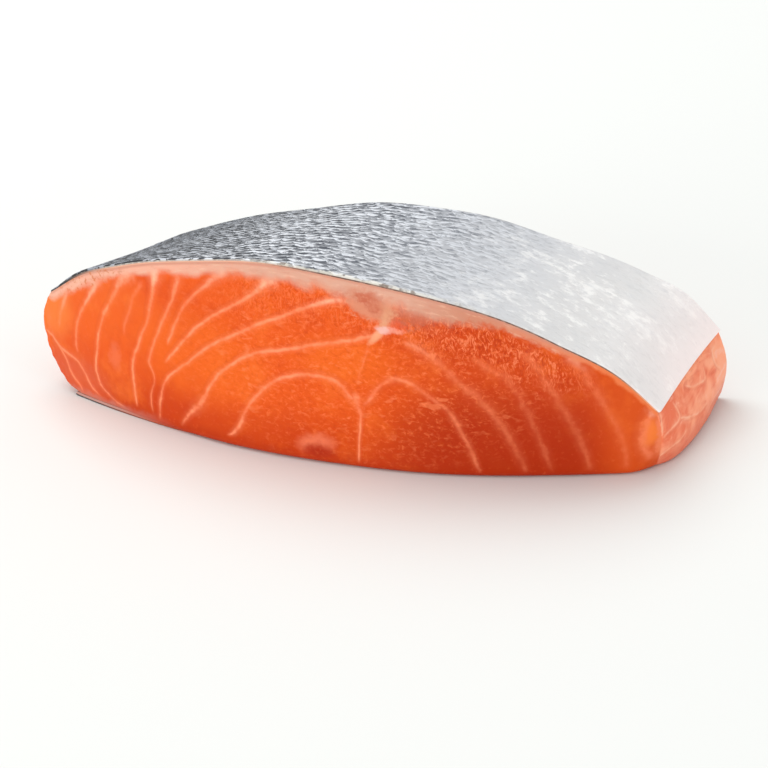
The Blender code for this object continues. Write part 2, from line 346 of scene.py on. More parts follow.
def underside(a, t):
    """Bottom of the flesh, as x and z: flat, but raised over the strip of skin, which thins out."""
    heel = between(HEEL_X, t)
    x = heel * (1 - a) + between(TOE_X, t) * a
    thinned = np.clip(((x - heel) / STRIP_REACH - STRIP_THINS_FROM) / (1 - STRIP_THINS_FROM), 0, 1)
    past_strip = np.clip((x - heel - STRIP_REACH) / STRIP_STEP, 0, 1)
    height = (SKIN_THICKNESS + SKIN_GAP) * (1 - (1 - STRIP_END_SHARE) * thinned)
    return x, height * (1 - past_strip)


def back_edge(b, t):
    """The trimmed edge along the fish's back, from the heel to the skin's tip, as x and z."""
    heel_x, heel_z = underside(np.zeros_like(t), t)
    tip_x, tip_z = crest(np.zeros_like(t), t)
    weights = ((1 - b) ** 3, 3 * b * (1 - b) ** 2, 3 * b * b * (1 - b), b**3)
    xs = (heel_x, heel_x - HEEL_REACH, tip_x - TIP_REACH_OUT, tip_x)
    zs = (heel_z, heel_z, tip_z - TIP_REACH_DOWN, tip_z)
    return sum(w * x for w, x in zip(weights, xs)), sum(w * z for w, z in zip(weights, zs))


def belly_end(b, t):
    """The trimmed belly end, from the table to the skin, as x and z."""
    foot_x, foot_z = underside(np.ones_like(t), t)
    edge_x, edge_z = crest(np.ones_like(t), t)
    foot_bow = FOOT_BOW * np.sin(np.pi * t**FOOT_BOW_SKEW)
    bow = foot_bow * (1 - b) + EDGE_BOW * np.sin(np.pi * t) * b
    bulge = between(BELLY_BULGE, t) * np.sin(np.pi * b)
    x = foot_x * (1 - b) + edge_x * b + bow + bulge
    return x, foot_z * (1 - b) + edge_z * b


def section(a, b, t):
    """The inside of a cut, filled between its four edges, as x and z."""
    low, high = underside(a, t), crest(a, t)
    back, belly = back_edge(b, t), belly_end(b, t)
    corners = (
        underside(np.zeros_like(t), t),
        underside(np.ones_like(t), t),
        crest(np.zeros_like(t), t),
        crest(np.ones_like(t), t),
    )
    return [
        (1 - b) * low[i]
        + b * high[i]
        + (1 - a) * back[i]
        + a * belly[i]
        - (1 - a) * (1 - b) * corners[0][i]
        - a * (1 - b) * corners[1][i]
        - (1 - a) * b * corners[2][i]
        - a * b * corners[3][i]
        for i in (0, 1)
    ]


def foot_tuck(z):
    """How far a side draws in where it rounds under to the table."""
    rise = np.clip(z / FOOT_RADIUS, 0, 1)
    return FOOT_RADIUS * (1 - np.sqrt(1 - (1 - rise) ** 2))


def corner(a, b, t):
    """1 at the belly end's near corner on the table, fading along all three axes."""
    along = np.clip(1 - (1 - a) / CORNER_SHARE[0], 0, 1)
    deep = np.clip(1 - t / CORNER_SHARE[1], 0, 1)
    return (along * deep * (1 - b)) ** 2


def mould(a, b, t):
    """Where the unit cube's point (a, b, t) lies in the portion, as rows of x, y, z."""
    x, z = section(a, b, t)
    x = x - foot_tuck(z) * close_to(1, a)
    near = CUT_Y[0] + CUT_BOW[0] * (x - BOW_CENTRE_X[0]) ** 2
    far = CUT_Y[1] + CUT_BOW[1] * (x - BOW_CENTRE_X[1]) ** 2
    drawn_in = foot_tuck(z) + uneven(CUT_WAVE, x, z)
    y = between((near, far), t) + drawn_in * (close_to(0, t) - close_to(1, t))
    return np.stack([x, y + CORNER_TUCK * corner(a, b, t), z], axis=1) + MOULD_TO_PART


def over(surface, place, t, outward):
    """Offsets a surface of two coordinates along its normal."""
    small = 1e-4
    along = surface(np.minimum(place + small, 1), t) - surface(np.maximum(place - small, 0), t)
    deep = surface(place, np.minimum(t + small, 1)) - surface(place, np.maximum(t - small, 0))
    normal = np.cross(along, deep)
    normal /= np.linalg.norm(normal, axis=1, keepdims=True)
    return surface(place, t) + normal * outward[:, None]


class Flow:
    """A shader value. Arithmetic on it adds Math nodes to its material."""

    def __init__(self, look, socket):
        self.look = look
        self.socket = socket

    def math(self, operation, *others):
        """Any operation of a Math node on this value."""
        sockets = dict(enumerate((self, *others)))
        return self.look.node("ShaderNodeMath", {"operation": operation}, sockets)

    def __add__(self, other):
        return self.math("ADD", other)

    def __sub__(self, other):
        return self.math("SUBTRACT", other)

    def __rsub__(self, other):
        return self.math("MULTIPLY_ADD", -1.0, other)

    def __mul__(self, other):
        return self.math("MULTIPLY", other)

    def __truediv__(self, other):
        return self.math("DIVIDE", other)

    def __abs__(self):
        return self.math("ABSOLUTE")

    __radd__ = __add__
    __rmul__ = __mul__

    def parts(self):
        """The x, y and z of a vector."""
        split = self.look.node("ShaderNodeSeparateXYZ", {}, {0: self})
        return [Flow(self.look, output) for output in split.socket.node.outputs]

    def stretched(self, factors):
        """A vector times three factors."""
        return self.look.node("ShaderNodeVectorMath", {"operation": "MULTIPLY"}, {0: self, 1: factors})


class Look:
    """A material that is being made out of nodes."""

    def __init__(self, name):
        self.material = bpy.data.materials.new(name)
        self.material.use_nodes = True
        self.nodes = self.material.node_tree.nodes
        self.links = self.material.node_tree.links
        self.shader = self.nodes["Principled BSDF"]

    def node(self, kind, settings, sockets, output=0):
        """Adds a node: its settings come first, then the values or links of its sockets."""
        made = self.nodes.new(kind)
        for name, value in settings.items():
            if name == "stops":
                self.set_stops(made.color_ramp, value)
            else:
                setattr(made, name, value)
        for key, value in sockets.items():
            self.feed(made.inputs[key], value)
        return Flow(self, made.outputs[output])

    def feed(self, socket, value):
        """Gives a socket a value or a link."""
        if isinstance(value, Flow):
            self.links.new(value.socket, socket)
        else:
            socket.default_value = value

    def set_stops(self, ramp, stops):
        """Fills a colour ramp with stops of (place, colour)."""
        while len(ramp.elements) < len(stops):
            ramp.elements.new(1.0)
        for element, (place, colour) in zip(ramp.elements, stops):
            element.position = place
            element.color = colour

    def set(self, **values):
        """Sets or links sockets of the Principled shader, named with _ for a space."""
        for name, value in values.items():
            self.feed(self.shader.inputs[name.replace("_", " ")], value)

    def position(self):
        """The point on the object, in metres."""
        return self.node("ShaderNodeTexCoord", {}, {}, "Object")

    def attribute(self, name):
        """A vector kept with the mesh."""
        return self.node("ShaderNodeAttribute", {"attribute_name": name}, {}, "Vector")

    def point(self, x, y, z=0.0):
        """A vector of three values."""
        return self.node("ShaderNodeCombineXYZ", {}, {0: x, 1: y, 2: z})

    def noise(self, at, size, detail=2.0, roughness=0.5, distortion=0.0):
        """Soft noise with blobs of a size, both in the unit of the place."""
        settings = {"noise_dimensions": "3D"}
        sockets = {
            "Vector": at,
            "Scale": 1.0 / size,
            "Detail": detail,
            "Roughness": roughness,
            "Distortion": distortion,
        }
        return self.node("ShaderNodeTexNoise", settings, sockets)

    def mix(self, share, low, high):
        """Mixes two colours."""
        return self.node("ShaderNodeMix", {"data_type": "RGBA"}, {0: share, 6: low, 7: high}, 2)

    def painted(self, under, *coats):
        """A colour with coats over it in turn, each the share that it covers and its colour."""
        for share, colour in coats:
            under = self.mix(share, under, colour)
        return under

    def ramp(self, share, stops):
        """A colour that goes through stops of (place, colour)."""
        return self.node("ShaderNodeValToRGB", {"stops": stops}, {0: share})

    def bump(self, height, depth, strength):
        """A normal bent by a height between 0 and 1, which stands for depth metres."""
        sockets = {"Strength": strength, "Distance": depth, "Height": height}
        return self.node("ShaderNodeBump", {}, sockets)


def smooth(value, low, high):
    """Rises smoothly from 0 to 1 as the value goes from low to high, on arrays and sockets."""
    if isinstance(value, Flow):
        settings = {"interpolation_type": "SMOOTHSTEP"}
        return value.look.node("ShaderNodeMapRange", settings, {0: value, 1: low, 2: high})
    share = np.clip((value - low) / (high - low), 0, 1)
    return share * share * (3 - 2 * share)


def sine(value):
    """The sine of an array or a socket."""
    return value.math("SINE") if isinstance(value, Flow) else np.sin(value)


def whole(value):
    """The whole number below an array's or a socket's values."""
    return value.math("FLOOR") if isinstance(value, Flow) else np.floor(value)


def larger(first, second):
    """The larger of two sockets or arrays."""
    return first.math("MAXIMUM", second) if isinstance(first, Flow) else np.maximum(first, second)


def paint(red, green, blue):
    """A colour from its values on screen, 0 to 255, as a shader wants it."""
    linear = [((c / 255 + 0.055) / 1.055) ** 2.4 if c > 10 else c / 255 / 12.92 for c in (red, green, blue)]
    return (*linear, 1.0)


def lengths_along(points):
    """The length of a line up to each of its points."""
    return np.concatenate([[0.0], np.cumsum(np.linalg.norm(np.diff(points, axis=0), axis=1))])


def smooth_line(points):
    """Reads a smooth line through its points, at even steps, with the length up to each."""
    points = np.array(points)
    lengths = lengths_along(points[:, :2])
    steps = np.linspace(0, lengths[-1], max(int(lengths[-1] / LINE_STEP), 4))
    columns = [smooth_through(np.column_stack([lengths, column]), steps) for column in points.T]
    return np.column_stack(columns), steps


def line_field(places, points, strength):
    """A line's field at the places: the signed distance in half-widths, and its strength."""
    line, lengths = smooth_line(points)
    start, along = line[:-1, :2], np.diff(line[:, :2], axis=0)
    towards = places[:, None, :] - start[None]
    share = np.clip((towards * along).sum(axis=2) / (along**2).sum(axis=1), 0, 1)
    off = towards - share[..., None] * along
    distance = np.linalg.norm(off, axis=2)
    nearest = distance.argmin(axis=1)
    row = np.arange(len(places))
    share, off, distance = share[row, nearest], off[row, nearest], distance[row, nearest]
    side = np.sign(along[nearest, 0] * off[:, 1] - along[nearest, 1] * off[:, 0])
    half_width = line[nearest, 2] * (1 - share) + line[nearest + 1, 2] * share
    offset = side * distance / half_width
    length = lengths[nearest] + share * (lengths[nearest + 1] - lengths[nearest])
    fade = min(LINE_FADE[0], LINE_FADE[1] * lengths[-1])
    to_end = np.minimum(length, lengths[-1] - length)
    return offset, strength * smooth(to_end, 0, fade) * smooth(np.abs(offset), *LINE_REACH[::-1])


def no_lines(count):
    """The fields of three groups without a line, at so many places."""
    return np.full((count, 3), NO_LINE), np.zeros((count, 3))


def lines_field(places, lines):
    """The fields of three groups of lines, as rows of offsets and rows of strengths."""
    offsets, strengths = no_lines(len(places))
    for group, strength, points in lines:
        offset, weight = line_field(places, points, strength)
        nearer = np.abs(offset) < np.abs(offsets[:, group])
        offsets[nearer, group] = offset[nearer]
        strengths[nearer, group] = weight[nearer]
    return offsets, strengths


def side_lines(along, across):
    """The field of the even slanting lines on the back edge and the underside."""
    wave = SIDE_LINE_WAVE[0] * np.sin(across / SIDE_LINE_WAVE[1])
    phase = (along + SIDE_LINE_SLANT * np.abs(across) + wave) / SIDE_LINE_SPACING
    offset = (phase - np.round(phase)) * SIDE_LINE_SPACING / SIDE_LINE_WIDTH
    return offset, SIDE_LINE_STRENGTH * smooth(np.abs(offset), *LINE_REACH[::-1])


def rough(places, relief):
    """Soft noise at the places, up and down by a height, with blobs of a size in their unit."""
    height, size = relief
    return height * np.array([noise.noise(Vector(place)) for place in places / size])


def cube_of_squares(along, up, deep):
    """The surface of a unit cube in small squares, so many along each axis."""
    bm = bmesh.new()
    across_t = Matrix.Identity(4)
    across_b = Matrix.Rotation(math.radians(90), 4, "X")
    across_a = Matrix.Rotation(math.radians(-90), 4, "Y")
    for columns, rows, turn, axis in (
        (along, up, across_t, 2),
        (along, deep, across_b, 1),
        (deep, up, across_a, 0),
    ):
        for end in (0.0, 1.0):
            place = Vector((0.5, 0.5, 0.5))
            place[axis] = end
            bmesh.ops.create_grid(
                bm,
                x_segments=columns,
                y_segments=rows,
                size=0.5,
                matrix=Matrix.Translation(place) @ turn,
            )
    bmesh.ops.remove_doubles(bm, verts=bm.verts, dist=TINY)
    bmesh.ops.recalc_face_normals(bm, faces=bm.faces)
    return bm


def split_edges(bm, wanted):
    """Splits the edges that are wanted in two, and the squares between them in four."""
    edges = [edge for edge in bm.edges if wanted(*[vertex.co for vertex in edge.verts])]
    bmesh.ops.subdivide_edges(bm, edges=edges, cuts=1, use_grid_fill=True)


def take_shape(bm, places):
    """Moves the vertices to their places, and turns the faces outwards."""
    for vertex, place in zip(bm.verts, places):
        vertex.co = place
    if bm.calc_volume(signed=True) < 0:
        bmesh.ops.reverse_faces(bm, faces=bm.faces)
    bm.normal_update()


def make_piece(name, bm, material, fields, node):
    """Makes the object, with vectors kept at its vertices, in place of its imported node."""
    low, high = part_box(node)
    for vertex in bm.verts:
        for axis in range(3):
            vertex.co[axis] = min(max(vertex.co[axis], low[axis]), high[axis])
    mesh = bpy.data.meshes.new(name)
    bm.to_mesh(mesh)
    bm.free()
    mesh.shade_smooth()
    mesh.set_sharp_from_angle(angle=math.radians(SHARP_ANGLE))
    mesh.materials.append(material)
    for field, rows in fields.items():
        attribute = mesh.attributes.new(field, "FLOAT_VECTOR", "POINT")
        attribute.data.foreach_set("vector", np.ascontiguousarray(rows, np.float32).ravel())
    piece = bpy.data.objects.new(name, mesh)
    bpy.context.scene.collection.objects.link(piece)
    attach(piece, "root")
    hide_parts(node)


def on_side(cube, axis, end):
    """Which points of the cube lie on one of its sides."""
    return np.abs(cube[:, axis] - end) < TINY


def flesh_fields(cube, places):
    """What the flesh's finish needs to know at each vertex."""
    a, b, t = cube.T
    in_mm = places / MM
    at_near_cut = mould(a, b, np.zeros_like(t))[:, (0, 2)] / MM
    drifted = at_near_cut + t[:, None] * np.array(FAR_DRIFT)
    on_cut = on_side(cube, 2, 0) | on_side(cube, 2, 1)
    on_end = on_side(cube, 0, 1)
    on_rest = (on_side(cube, 0, 0) | on_side(cube, 1, 0)) & ~on_end

    cut_offset, cut_strength = no_lines(len(a))
    cut_offset[on_cut], cut_strength[on_cut] = lines_field(drifted[on_cut], CUT_LINES)
    end_offset, end_strength = no_lines(len(a))
    end_offset[on_end], end_strength[on_end] = lines_field(in_mm[on_end][:, 1:], END_LINES)
    side = side_lines(in_mm[on_rest, 1], in_mm[on_rest, 0] - in_mm[on_rest, 2])
    end_offset[on_rest, 2], end_strength[on_rest, 2] = side

    # The top of the near cut is a line with a half-width of 1 mm, so its field is in mm.
    rim = np.linspace(0, 1, CREST_STATIONS)
    crest_line = np.column_stack([*crest(rim, np.zeros_like(rim)), np.ones_like(rim) * MM]) / MM
    crest_line[:, :2] += MOULD_TO_PART[[0, 2]] / MM
    depth = np.abs(line_field(at_near_cut, crest_line, 1.0)[0])
    fat = depth / smooth_through(FAT_DEPTH, np.clip(at_near_cut[:, 0], FAT_DEPTH[0][0], FAT_DEPTH[-1][0]))
    return {
        "cut_offset": cut_offset,
        "cut_strength": cut_strength,
        "end_offset": end_offset,
        "end_strength": end_strength,
        "layers": np.column_stack([fat, depth, on_end]),
        "section": np.column_stack([drifted, on_cut]),
    }


def groove(offsets, strengths):
    """How deep the lines lie at each vertex, 0 to 1."""
    return (np.exp(-(offsets**2)) * strengths).max(axis=1)


def make_flesh():
    """The flesh, with the relief of its lines and fibres."""
    bm = cube_of_squares(*FLESH_SQUARES)
    split_edges(bm, lambda p, q: max(p.z, q.z) < TINY)
    split_edges(bm, lambda p, q: min(p.x, q.x) > 1 - TINY and abs(p.z - q.z) > TINY)
    cube = np.array([vertex.co for vertex in bm.verts])
    places = mould(*cube.T)
    take_shape(bm, places)
    fields = flesh_fields(cube, places)
    in_mm, depth = places / MM, fields["layers"][:, 1]
    free = smooth(depth, 0.0, RELIEF_START[0]) * smooth(in_mm[:, 2], 0.0, RELIEF_START[1])
    torn = smooth(cube[:, 0], BACK_REACH, 0.0)
    sunk = groove(fields["cut_offset"], fields["cut_strength"])
    sunk += END_GROOVE_SHARE * groove(fields["end_offset"], fields["end_strength"])
    relief = (
        rough(in_mm, SWELLINGS)
        + rough(in_mm, FIBRES)
        - np.abs(rough(in_mm, BACK_PITS)) * torn
        - LINE_GROOVE * sunk
    )
    for vertex, height in zip(bm.verts, relief * free * MM):
        vertex.co += vertex.normal * height
    make_piece("salmon_flesh", bm, flesh_finish(), fields, "flesh")


def white_lines(look, name, wobble, narrower):
    """How strongly the white lines show, 0 to 1, and the painted shade along their low side."""
    offsets = look.attribute(name + "_offset").parts()
    strengths = look.attribute(name + "_strength").parts()
    lines, beside = 0.0, 0.0
    for offset, strength in zip(offsets, strengths):
        moved = offset * narrower + wobble
        core = smooth(abs(moved), 1.25, 0.0) * 0.68 + smooth(abs(moved), 3.0, 0.0) * 0.32
        shade = smooth(abs(moved + 2.1), 1.7, 0.0)
        lines = larger(core * strength, lines)
        beside = larger(shade * strength, beside)
    return lines, beside


def patch(x, z, centre, radii, slope=0.0):
    """A soft round patch on the cuts, tilted by a slope: 1 in its middle, 0 outside."""
    across = (x - centre[0]) / radii[0]
    up = (z - centre[1] - (x - centre[0]) * slope) / radii[1]
    return smooth(across * across + up * up, 1.0, 0.0)


class FleshPattern:
    """What the flesh's colours share: places and depths in mm, masks and soft noises."""

    def __init__(self, look):
        here = look.position()
        fat, depth, belly = look.attribute("layers").parts()
        x, z, cut = look.attribute("section").parts()
        cloudy = look.noise(here, 0.013, 3.0) - 0.5
        patchy = look.noise(here, 0.0045, 3.0, 0.6) - 0.5
        grain = look.noise(here, 0.0011, 3.0, 0.65) - 0.5
        wobble = look.noise(here, 0.0023, 2.0) - 0.5
        self.here = here
        self.fat, self.depth, self.belly = fat, depth, belly
        self.x, self.z, self.cut = x, z, cut
        self.cloudy, self.patchy, self.grain, self.wobble = cloudy, patchy, grain, wobble
        self.torn_x = x + wobble * 3.0 + grain
        self.torn_z = z + patchy * 3.0 + grain
        self.streaks = look.noise(look.point(x * 0.25, depth), 1.1, 3.0, 0.6) - 0.5
        self.marbled = look.noise(look.point(x + z * 0.7, z * 1.3 - x * 0.4), 1.5, 4.0, 0.68, 0.6) - 0.5
        self.fleck = look.noise(here.stretched((0.55, 1.0, 1.2)), 0.0015, 2.0, 0.5, 0.4)

        # Short wavy fibres under the skin, thickest right of the star.
        self.hair = look.noise(look.point(x + wobble * 1.5, depth * 0.42), 0.78, 3.0, 0.6, 1.6)
        furry = smooth(x, -38.0, -10.0) * 0.4 + smooth(x, 8.0, 16.0) * 0.5
        furry = furry * cut * smooth(x, 60.0, 44.0) * smooth(depth, 1.6, 3.8)
        self.furry = furry * smooth(depth + patchy * 12.0 + smooth(x, 34.0, 54.0) * 5.0, 15.0, 8.0)


def muscle_colour(look, at):
    """Orange muscle: darker towards the table and the right, partly its own tone and partly painted shade,
    and yellower and paler at the back.
    """
    x, z, torn_x, torn_z = at.x, at.z, at.torn_x, at.torn_z
    clouded = at.cloudy + at.patchy * 0.7
    wavy_z = z + at.wobble * 2.0
    # Painted shade where the flesh rounds under to the table.
    foot_shade = smooth(z + at.wobble * 3.0, 4.5, 0.5) * smooth(x, 66.0, 50.0)
    shadowed = patch(x, z, (38.0, 6.0), (34.0, 21.0)) * smooth(x, 62.0, 50.0)
    return look.painted(
        paint(227, 88, 20),
        # Darker towards the table and the right: partly the flesh's own tone, partly painted shade.
        (smooth(z + at.cloudy * 14.0, 17.0, 1.0) * 0.85, paint(196, 60, 5)),
        (smooth(x, 0.0, 30.0) * 0.75, paint(197, 62, 10)),
        # Lighter and darker clouds, a bright middle, a dark foot that is painted shade where the flesh
        # rounds under to the table, and a darker far right, partly painted shade.
        (smooth(clouded, 0.0, 0.30) * 0.5, paint(240, 116, 42)),
        (smooth(clouded, -0.02, -0.30) * 0.45, paint(204, 62, 14)),
        (patch(x, z, (2.0, 26.0), (15.0, 7.0)) * 0.45, paint(238, 110, 26)),
        (foot_shade * 0.55, paint(178, 46, 10)),
        (smooth(x, 50.0, 62.0) * 0.6, paint(214, 84, 22)),
        # The yellower left, and the paler rounding at the back.
        (patch(torn_x, torn_z, (-60.0, 26.0), (24.0, 13.0)) * 0.35, paint(236, 106, 30)),
        (patch(torn_x, torn_z, (-32.0, 20.0), (20.0, 14.0)) * 0.65, paint(236, 104, 24)),
        (patch(x, z, (-73.0, 20.0), (9.0, 9.0)) * 0.8, paint(238, 124, 52)),
        (patch(x, z, (-66.0, 4.5), (13.0, 8.0)) * 0.8, paint(216, 90, 52)),
        # The paler edge next to the belly end, a painted highlight along the ridge there, and a yellow
        # patch.
        (smooth(torn_x, 65.8, 67.2) * smooth(z, 2.0, 6.0) * 0.6, paint(244, 146, 106)),
        (patch(torn_x, z, (65.2, 10.2), (2.2, 4.6)) * 0.8, paint(244, 130, 56)),
        # The dark spot at the middle of the foot, with a painted sheen as its pale top, and a pale fleck
        # left of it.
        (patch(x, wavy_z, (-4.6, 4.8), (5.6, 3.2), 0.1) * 0.7, paint(236, 128, 92)),
        (patch(x, wavy_z, (-3.9, 2.9), (4.6, 2.2)), paint(176, 44, 8)),
        (patch(torn_x, torn_z, (-54.4, 14.2), (2.2, 4.2)) * 0.35, paint(240, 132, 92)),
        (shadowed * 0.9, paint(172, 42, 2)),
    )


def belly_end_colour(look, at):
    """The paler, blotched flesh of the belly end, dotted along the skin, with painted shade at its foot by
    the table.
    """
    strands = look.noise(at.here.stretched((1.0, 0.35, 1.0)), 0.0032, 3.0, 0.6, 0.8) - 0.5
    veined = strands + at.wobble * 0.4
    dots = smooth(at.grain, 0.02, 0.14) * smooth(at.depth, 1.3, 0.3)
    return look.painted(
        paint(255, 166, 128),
        (smooth(at.cloudy + strands * 0.5, 0.04, -0.2), paint(238, 114, 74)),
        (smooth(veined, 0.08, 0.26) * 0.5, paint(255, 196, 172)),
        (smooth(veined, -0.12, -0.30) * 0.45, paint(214, 84, 54)),
        (dots * 0.6, paint(176, 74, 52)),
        # Painted shade at the foot, by the table.
        (smooth(at.z + at.wobble * 2.5, 5.5, 0.5) * 0.6, paint(210, 78, 56)),
    )


def with_fibres(look, at, muscle):
    """Adds the marbling, the fibres under the skin, whose pale strokes are partly painted highlights, and
    sparse pale flecks that are painted glints.
    """
    middle = at.cut * patch(at.x, at.z, (4.0, 24.0), (54.0, 28.0))
    speckled = middle * smooth(at.patchy, 0.15, -0.1)
    return look.painted(
        muscle,
        (smooth(at.marbled, 0.0, 0.22) * middle * 0.6, paint(246, 128, 74)),
        (smooth(at.marbled, 0.0, -0.22) * middle * 0.4, paint(196, 58, 12)),
        # Pale fibre strokes, partly painted highlights, and dark red between them.
        (smooth(at.hair, 0.50, 0.64) * at.furry * 0.75, paint(244, 138, 94)),
        (smooth(at.hair, 0.48, 0.36) * at.furry * 0.75, paint(180, 50, 14)),
        # Sparse pale flecks: painted glints.
        (smooth(at.fleck, 0.57, 0.70) * speckled * 0.5, paint(246, 136, 86)),
        (smooth(at.grain, 0.05, 0.3) * 0.2, paint(244, 126, 74)),
    )


def with_white_lines(look, at, muscle):
    """Adds the white lines, with painted shade along one side of each."""
    right = smooth(at.x, 10.0, 32.0)
    cut_lines, cut_shade = white_lines(look, "cut", at.wobble * 1.5, 1.0 - right * 0.25)
    end_lines, end_shade = white_lines(look, "end", at.wobble * 2.4, 1.5)
    worn = 0.50 + smooth(look.noise(at.here, 0.0048, 3.0, 0.6), 0.35, 0.62) * 0.5
    lines = larger(cut_lines * (1.0 - right * 0.2), end_lines) * (worn + at.grain * 0.7)
    line_colour = look.painted(
        paint(250, 146, 102),
        (smooth(at.x, 0.0, 30.0), paint(238, 128, 86)),
        (larger(smooth(at.fat, 3.2, 1.2), at.belly), paint(252, 184, 150)),
    )
    return look.painted(
        muscle,
        # Painted shade along one side of each line.
        (larger(cut_shade, end_shade) * 0.16, paint(196, 58, 14)),
        (lines * 0.95, line_colour),
    )


def with_fat(look, at, muscle):
    """Adds the fat, streaked along the skin, and dotted at the back."""
    lobes = look.noise(at.here, 0.0055, 1.0) - 0.5
    ragged = smooth(at.x, 14.0, 34.0) * 0.9
    edge = at.fat + lobes * 1.3 + at.wobble * (ragged + 0.5) + at.grain * (ragged + 0.25)
    dots = smooth(at.grain, 0.02, 0.12) * patch(at.x, at.z, (-61.0, 30.5), (12.0, 5.0), 0.5)
    fat_colour = look.painted(
        paint(234, 176, 152),
        (smooth(at.x, -45.0, -10.0), paint(216, 168, 146)),
        (smooth(at.x, 12.0, 30.0), paint(202, 140, 114)),
        (smooth(at.x, 26.0, 44.0) * 0.7, paint(226, 142, 108)),
        (smooth(at.streaks, 0.02, 0.22) * 0.6, paint(234, 192, 166)),
        (smooth(at.streaks, -0.02, -0.25) * 0.5, paint(206, 134, 110)),
        (smooth(at.depth, 0.75, 0.2) * 0.7, paint(206, 144, 124)),
        (smooth(at.x, 42.0, 58.0) * 0.9, paint(234, 122, 66)),
        (dots * 0.8, paint(204, 116, 62)),
    )
    return look.mix(smooth(edge, 1.6, 0.5) * (0.93 - at.belly * 0.5), muscle, fat_colour)


def with_dark_muscle(look, at, flesh):
    """Adds the dark muscle on both sides of the pale funnel above the star."""
    torn_x, torn_z = at.torn_x + at.grain * 2.0, at.torn_z + at.grain * 2.4
    pale = (
        smooth(at.depth, 9.5, 6.0) * patch(torn_x, torn_z, (7.8, 37.8), (7.0, 5.6), -0.6)
        + smooth(at.marbled, 0.0, 0.2) * patch(at.x, at.z, (6.4, 36.4), (6.4, 5.6), -0.5) * 0.5
    )
    dark = (
        patch(torn_x, torn_z, (8.6, 39.8), (5.2, 3.8), -0.5) * 0.9
        + patch(torn_x, torn_z, (3.6, 41.4), (6.0, 2.0), -0.1) * 0.5
        + patch(torn_x, torn_z, (15.8, 37.2), (6.4, 2.6), -0.16) * 0.8
        + patch(torn_x, torn_z, (18.6, 35.4), (9.0, 2.8), -0.2) * 0.35
    )
    dark = dark * (0.9 + at.grain * 1.8 + at.streaks * 1.2)
    rise = at.z - FUNNEL_FOOT[1]
    beside = abs(torn_x - FUNNEL_FOOT[0] - rise * 0.2) - rise * 0.22
    funnel = smooth(beside, 1.5, -0.6) * smooth(rise, -0.6, 0.6) * smooth(rise, 8.0, 3.0)
    reddened = patch(torn_x, torn_z, (13.8, 35.4), (2.8, 1.6))
    return look.painted(
        flesh,
        (smooth(pale, 0.0, 1.0) * at.cut * 0.85, paint(212, 138, 108)),
        (smooth(dark, 0.0, 1.4) * at.cut * 0.9, paint(196, 102, 74)),
        (funnel * at.cut * 0.85, paint(222, 160, 124)),
        (reddened * at.cut * 0.45, paint(222, 92, 68)),
    )


def with_star(look, at, flesh):
    """Adds the small pale star that the lines of both halves run to."""
    near_x = at.x + at.wobble * 2.0 + at.grain * 1.5
    near_z = at.z + at.wobble * 2.0 + at.grain * 1.5
    tail = patch(near_x, near_z, (9.0, 32.3), (2.6, 1.9), 0.8)
    arm = patch(near_x, near_z, (12.2, 33.8), (4.2, 1.3))
    heart = patch(near_x, near_z, (10.2, 33.9), (2.4, 1.5), 0.05)
    return look.painted(
        flesh,
        (tail * tail * at.cut * 0.7, paint(240, 176, 134)),
        (arm * arm * at.cut * 0.7, paint(242, 160, 138)),
        (heart * heart * at.cut * 0.9, paint(236, 184, 174)),
    )


def with_seam(look, at, flesh):
    """Adds a pale seam where the flesh meets the strip of skin below."""
    seam = smooth(at.z + at.wobble * 2.5 + at.patchy * 2.0, 2.9, 1.0) * smooth(at.x, -36.0, -54.0)
    return look.mix(seam * 0.6, flesh, paint(204, 132, 114))


def flesh_finish():
    """Moist raw salmon: orange muscle, white lines, pale fat under the skin."""
    look = Look("raw_salmon")
    at = FleshPattern(look)
    flesh = look.mix(at.belly * 0.92, muscle_colour(look, at), belly_end_colour(look, at))
    for added in (with_fibres, with_white_lines, with_fat, with_dark_muscle, with_star, with_seam):
        flesh = added(look, at, flesh)

    wet = look.noise(at.here, 0.004, 2.0)
    height = at.hair * at.furry * 0.9 + at.grain * 0.6 + at.fleck * 0.3
    look.set(
        Base_Color=flesh,
        Roughness=0.30 + wet * 0.2,
        Normal=look.bump(height, 0.00012, 0.7),
        Subsurface_Weight=0.2,
        Subsurface_Radius=(1.0, 0.35, 0.2),
        Subsurface_Scale=0.0015,
        Specular_IOR_Level=0.14,
    )
    return look.material


def scales(u, v):
    """The scale at (u, v) on the skin, on arrays and sockets.

    Gives its column and row, whether the place lies on the row below, and how far back
    from the scale's free edge it lies, in rows.
    """
    # Soft waves bend the columns and the rows a little.
    bent_u = u + 0.55 * sine(v * 0.37 + 0.8) + 0.4 * sine(u * 0.29 - v * 0.23)
    bent_v = v + 0.45 * sine(u * 0.33 + 1.1) + 0.35 * sine(u * 0.83 + v * 0.41)
    row_place = bent_v / SCALE_PITCH[1]
    row = whole(row_place)
    q = 1.0 - (row_place - row)
    column_place = bent_u / SCALE_PITCH[0] + row * 0.5
    column = whole(column_place)
    p = column_place - column - 0.5
    own_edge = 1.0 - SCALE_CURVE * 4.0 * p * p
    next_p = 0.5 - abs(p)
    next_edge = 2.0 - SCALE_CURVE * 4.0 * next_p * next_p
    below = smooth(q - own_edge, -0.001, 0.001)
    back = (own_edge - q) * (1.0 - below) + (next_edge - q) * below
    return column, row, below, back


